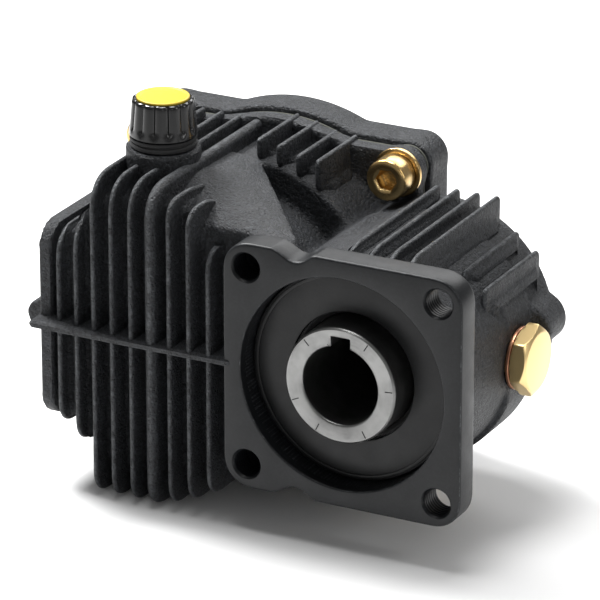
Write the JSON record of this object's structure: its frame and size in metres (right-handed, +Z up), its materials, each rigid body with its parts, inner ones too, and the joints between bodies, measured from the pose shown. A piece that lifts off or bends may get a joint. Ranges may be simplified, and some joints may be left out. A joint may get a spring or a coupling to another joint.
{
  "type": "gear reducer for a pressure washer pump",
  "caption": "Finned cast reduction gearbox with a keyed hollow input shaft in a square engine flange, a keyed hollow output shaft in a lobed pump flange, an oil filler cap and brass plugs.",
  "frame": {"origin": "middle of the base, on the surface that the gearbox stands on", "axes": "+Y from the engine's side to the pump's side, along both shafts; +Z up; +X from the oil casing to the pinion housing"},
  "size_m": [0.159, 0.093, 0.127],
  "materials": {
    "black_casting": "black paint over a sand-cast skin, grey where the rough skin catches light",
    "turned_steel": "turned, satin",
    "gear_steel": "ground, oiled",
    "bearing_steel": "ground and polished",
    "yellow_zinc": "yellow passivated zinc, glossy",
    "brass": "machined, satin",
    "copper": "soft annealed washer",
    "black_rubber": "satin nitrile",
    "black_plastic": "glossy moulded",
    "yellow_plastic": "satin moulded",
    "gasket_fibre": "matt pressed fibre"
  },
  "bodies": {
    "casing": {"gear_casing": "black_casting", "rear_flange": "black_casting", "casing_gasket": "gasket_fibre", "flange_screw_1": "yellow_zinc", "flange_screw_2": "yellow_zinc", "flange_screw_3": "yellow_zinc", "flange_screw_4": "yellow_zinc", "flange_washer_1": "yellow_zinc", "flange_washer_2": "yellow_zinc", "flange_washer_3": "yellow_zinc", "flange_washer_4": "yellow_zinc", "locating_dowel_1": "bearing_steel", "locating_dowel_2": "bearing_steel", "level_plug": "brass", "level_plug_washer": "copper", "drain_plug": "brass", "drain_plug_washer": "copper", "front_seal_cover": "black_casting", "front_oil_seal": "black_rubber", "rear_oil_seal": "black_rubber", "pinion_front_bearing_outer_race": "bearing_steel", "pinion_rear_bearing_outer_race": "bearing_steel", "output_front_bearing_outer_race": "bearing_steel", "output_rear_bearing_outer_race": "bearing_steel"},
    "pinion": {"pinion_shaft": "turned_steel", "pinion_front_bearing_inner_race": "bearing_steel", "pinion_rear_bearing_inner_race": "bearing_steel"},
    "wheel": {"output_shaft": "turned_steel", "gear_wheel": "gear_steel", "wheel_key": "gear_steel", "output_front_bearing_inner_race": "bearing_steel", "output_rear_bearing_inner_race": "bearing_steel"},
    "pinion_front_balls": {"pinion_front_bearing_ball_cage": "bearing_steel"},
    "pinion_rear_balls": {"pinion_rear_bearing_ball_cage": "bearing_steel"},
    "output_front_balls": {"output_front_bearing_ball_cage": "bearing_steel"},
    "output_rear_balls": {"output_rear_bearing_ball_cage": "bearing_steel"},
    "cap_seal": {"filler_cap_seal": "black_rubber"},
    "cap": {"filler_cap": "black_plastic", "filler_cap_disc": "yellow_plastic", "dipstick": "bearing_steel"}
  },
  "joints": [
    {"name": "wheel_spin", "type": "hinge", "parent": "casing", "child": "wheel", "pos_m": [-0.02375, 0, 0.0549], "axis": [0, 1, 0], "continuous": true},
    {"name": "pinion_spin", "type": "hinge", "parent": "casing", "child": "pinion", "pos_m": [0.03525, 0, 0.0549], "axis": [0, 1, 0], "continuous": true},
    {"name": "pinion_front_balls_roll", "type": "hinge", "parent": "casing", "child": "pinion_front_balls", "pos_m": [0.03525, 0, 0.0549], "axis": [0, 1, 0], "continuous": true},
    {"name": "pinion_rear_balls_roll", "type": "hinge", "parent": "casing", "child": "pinion_rear_balls", "pos_m": [0.03525, 0, 0.0549], "axis": [0, 1, 0], "continuous": true},
    {"name": "output_front_balls_roll", "type": "hinge", "parent": "casing", "child": "output_front_balls", "pos_m": [-0.02375, 0, 0.0549], "axis": [0, 1, 0], "continuous": true},
    {"name": "output_rear_balls_roll", "type": "hinge", "parent": "casing", "child": "output_rear_balls", "pos_m": [-0.02375, 0, 0.0549], "axis": [0, 1, 0], "continuous": true},
    {"name": "cap_lift", "type": "slide", "parent": "casing", "child": "cap_seal", "axis": [0, 0, 1], "range_m": [0, 0.01205]},
    {"name": "cap_turn", "type": "hinge", "parent": "cap_seal", "child": "cap", "pos_m": [-0.04175, -0.01605, 0.1169], "axis": [0, 0, 1], "range_deg": [0, 2160]}
  ],
  "couplings": [
    {"joint": "pinion_spin", "follows": "wheel_spin", "ratio": -1.95},
    {"joint": "pinion_front_balls_roll", "follows": "wheel_spin", "ratio": -0.83331},
    {"joint": "pinion_rear_balls_roll", "follows": "wheel_spin", "ratio": -0.89749},
    {"joint": "output_front_balls_roll", "follows": "wheel_spin", "ratio": 0.43993},
    {"joint": "output_rear_balls_roll", "follows": "wheel_spin", "ratio": 0.43993},
    {"joint": "cap_lift", "follows": "cap_turn", "m_per_rad": 0.00031831}
  ]
}
